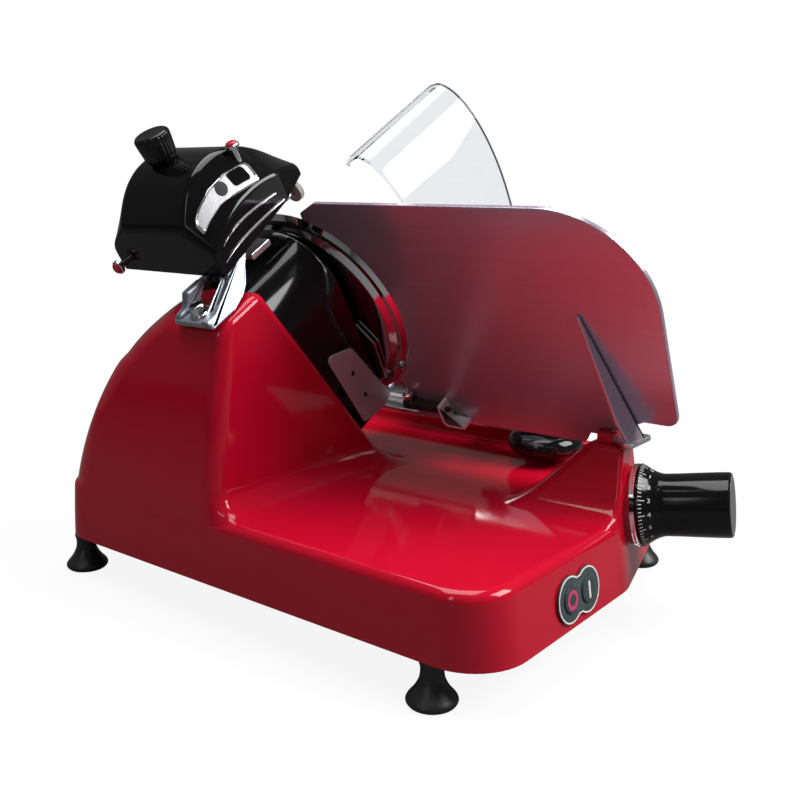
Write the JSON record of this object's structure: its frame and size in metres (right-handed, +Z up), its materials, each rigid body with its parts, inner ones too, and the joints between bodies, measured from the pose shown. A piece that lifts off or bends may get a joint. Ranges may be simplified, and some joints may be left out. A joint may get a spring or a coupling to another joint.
{
  "type": "electric gravity meat slicer",
  "caption": "Red gravity meat slicer with a tilted round blade, gauge plate, sliding carriage with a clear hand guard, thickness knob and built-in blade sharpener.",
  "frame": {"origin": "middle of the underside of the machine's box, on the worktop", "axes": "+Z up, -Y towards the operator and the front face, +X towards the carriage"},
  "size_m": [0.3908, 0.544, 0.4294],
  "materials": {
    "bearing_carrier_finish": "satin",
    "bearing_front_finish": "polished",
    "bearing_rear_finish": "polished",
    "blade_finish": "polished",
    "blade_centre_cap_finish": "brushed",
    "blade_pulley_finish": "satin",
    "blade_shaft_finish": "polished",
    "body_casting_finish": "gloss",
    "bottom_cover_finish": "satin",
    "bracket_bolt_finish": "polished",
    "cable_gland_finish": "matte",
    "carriage_arm_finish": "satin",
    "carriage_knob_finish": "gloss",
    "carriage_table_finish": "brushed",
    "clamp_knob_finish": "gloss",
    "clamp_post_finish": "polished",
    "deburr_pusher_finish": "polished",
    "deburring_stone_finish": "matte",
    "deflector_bracket_finish": "satin",
    "drive_belt_finish": "matte",
    "foot_front_left_finish": "matte",
    "foot_front_right_finish": "matte",
    "foot_rear_left_finish": "matte",
    "foot_rear_right_finish": "matte",
    "gauge_plate_finish": "brushed",
    "grind_pusher_finish": "polished",
    "grinding_stone_finish": "matte",
    "hand_guard_finish": "clear",
    "hood_trim_finish": "brushed",
    "hub_housing_finish": "gloss",
    "index_ring_finish": "clear",
    "knob_spindle_finish": "satin",
    "link_bracket_finish": "polished",
    "link_nut_finish": "polished",
    "link_rod_finish": "matte",
    "meat_pusher_finish": "brushed",
    "motor_finish": "matte",
    "motor_bracket_finish": "satin",
    "motor_pulley_finish": "satin",
    "off_button_finish": "gloss",
    "on_button_finish": "matte",
    "plate_arm_finish": "satin",
    "pusher_grip_finish": "gloss",
    "pusher_hub_finish": "matte",
    "pusher_rod_finish": "polished",
    "pusher_sleeve_finish": "satin",
    "rail_block_front_finish": "satin",
    "rail_block_rear_finish": "satin",
    "rail_rod_finish": "polished",
    "ring_guard_finish": "brushed",
    "rod_bracket_finish": "satin",
    "sharpener_body_finish": "satin",
    "sharpener_bracket_finish": "satin",
    "sharpener_hood_finish": "gloss",
    "slice_deflector_finish": "brushed",
    "slide_rod_finish": "polished",
    "switch_box_finish": "matte",
    "switch_plate_finish": "matte",
    "thickness_knob_finish": "gloss"
  },
  "bodies": {
    "base": {"body_casting": "body_casting_finish", "bottom_cover": "bottom_cover_finish", "foot_front_left": "foot_front_left_finish", "foot_front_right": "foot_front_right_finish", "foot_rear_left": "foot_rear_left_finish", "foot_rear_right": "foot_rear_right_finish", "cable_gland": "cable_gland_finish", "hub_housing": "hub_housing_finish", "bearing_carrier": "bearing_carrier_finish", "bearing_front": "bearing_front_finish", "bearing_rear": "bearing_rear_finish", "motor": "motor_finish", "motor_bracket": "motor_bracket_finish", "drive_belt": "drive_belt_finish", "ring_guard": "ring_guard_finish", "slice_deflector": "slice_deflector_finish", "deflector_bracket": "deflector_bracket_finish", "slide_rod": "slide_rod_finish", "rod_bracket": "rod_bracket_finish", "index_ring": "index_ring_finish", "switch_plate": "switch_plate_finish", "switch_box": "switch_box_finish", "sharpener_bracket": "sharpener_bracket_finish", "clamp_post": "clamp_post_finish", "bracket_bolt": "bracket_bolt_finish", "rail_rod": "rail_rod_finish", "rail_block_front": "rail_block_front_finish", "rail_block_rear": "rail_block_rear_finish"},
    "blade": {"blade": "blade_finish", "blade_centre_cap": "blade_centre_cap_finish", "blade_shaft": "blade_shaft_finish", "blade_pulley": "blade_pulley_finish"},
    "motor_rotor": {"motor_pulley": "motor_pulley_finish"},
    "gauge": {"gauge_plate": "gauge_plate_finish", "plate_arm": "plate_arm_finish", "link_rod": "link_rod_finish", "link_nut": "link_nut_finish", "link_bracket": "link_bracket_finish"},
    "thickness": {"thickness_knob": "thickness_knob_finish", "knob_spindle": "knob_spindle_finish"},
    "off_key": {"off_button": "off_button_finish"},
    "on_key": {"on_button": "on_button_finish"},
    "sharpener": {"sharpener_hood": "sharpener_hood_finish", "sharpener_body": "sharpener_body_finish", "hood_trim": "hood_trim_finish"},
    "clamp": {"clamp_knob": "clamp_knob_finish"},
    "grinder": {"grind_pusher": "grind_pusher_finish"},
    "grinding_wheel": {"grinding_stone": "grinding_stone_finish"},
    "deburrer": {"deburr_pusher": "deburr_pusher_finish"},
    "deburring_wheel": {"deburring_stone": "deburring_stone_finish"},
    "carriage": {"carriage_arm": "carriage_arm_finish", "carriage_table": "carriage_table_finish", "hand_guard": "hand_guard_finish", "pusher_rod": "pusher_rod_finish"},
    "carriage_lock": {"carriage_knob": "carriage_knob_finish"},
    "pusher_carrier": {"pusher_hub": "pusher_hub_finish"},
    "pusher": {"pusher_sleeve": "pusher_sleeve_finish", "meat_pusher": "meat_pusher_finish", "pusher_grip": "pusher_grip_finish"}
  },
  "joints": [
    {"name": "blade_spin", "type": "hinge", "parent": "base", "child": "blade", "pos_m": [0.00263, 0.11131, 0.23233], "axis": [0.866, 0, 0.5], "continuous": true},
    {"name": "motor_spin", "type": "hinge", "parent": "base", "child": "motor_rotor", "pos_m": [0.04938, 0.12931, 0.15135], "axis": [0.866, 0, 0.5], "continuous": true},
    {"name": "thickness_turn", "type": "hinge", "parent": "base", "child": "thickness", "pos_m": [0.05137, -0.19769, 0.091], "axis": [0.2736, -0.9541, 0.1219], "range_deg": [0, 300.1]},
    {"name": "plate_slide", "type": "slide", "parent": "base", "child": "gauge", "axis": [-1, 0, 0], "range_m": [0, 0.0139]},
    {"name": "off_push", "type": "slide", "parent": "base", "child": "off_key", "axis": [0, 0.9903, -0.1392], "range_m": [0, 0.0025], "stiffness_N_per_m": 400, "springref_m": -0.001},
    {"name": "on_push", "type": "slide", "parent": "base", "child": "on_key", "axis": [0, 0.9903, -0.1392], "range_m": [0, 0.0025], "stiffness_N_per_m": 400, "springref_m": -0.001},
    {"name": "sharpener_lift", "type": "slide", "parent": "base", "child": "sharpener", "axis": [-0.5, 0, 0.866], "range_m": [0, 0.01]},
    {"name": "clamp_turn", "type": "hinge", "parent": "sharpener", "child": "clamp", "pos_m": [-0.10509, 0.14231, 0.29889], "axis": [-0.5, 0, 0.866], "range_deg": [0, 360]},
    {"name": "grind_push", "type": "slide", "parent": "sharpener", "child": "grinder", "axis": [0.866, 0, 0.5], "range_m": [0, 0.004], "stiffness_N_per_m": 600, "springref_m": -0.001},
    {"name": "grinding_stone_spin", "type": "hinge", "parent": "grinder", "child": "grinding_wheel", "pos_m": [-0.05813, 0.10681, 0.33755], "axis": [0.866, 0, 0.5], "continuous": true},
    {"name": "deburr_push", "type": "slide", "parent": "sharpener", "child": "deburrer", "axis": [0.5, 0, -0.866], "range_m": [0, 0.003], "stiffness_N_per_m": 1200, "springref_m": -0.001},
    {"name": "deburring_stone_spin", "type": "hinge", "parent": "deburrer", "child": "deburring_wheel", "pos_m": [-0.05713, 0.08431, 0.33582], "axis": [0.866, 0, 0.5], "continuous": true},
    {"name": "carriage_slide", "type": "slide", "parent": "base", "child": "carriage", "axis": [0, 1, 0], "range_m": [-0.085, 0.115]},
    {"name": "carriage_lock_turn", "type": "hinge", "parent": "carriage", "child": "carriage_lock", "pos_m": [0.12037, -0.06769, 0], "axis": [0, 0, 1], "range_deg": [0, 360]},
    {"name": "pusher_slide", "type": "slide", "parent": "carriage", "child": "pusher_carrier", "axis": [0.866, 0, 0.5], "range_m": [0, 0.085]},
    {"name": "pusher_swing", "type": "hinge", "parent": "pusher_carrier", "child": "pusher", "pos_m": [0.02637, -0.00669, 0.19119], "axis": [0.866, 0, 0.5], "range_deg": [0, 80]}
  ],
  "couplings": [
    {"joint": "motor_spin", "follows": "blade_spin", "ratio": 3},
    {"joint": "thickness_turn", "follows": "plate_slide", "rad_per_m": 376.69}
  ]
}
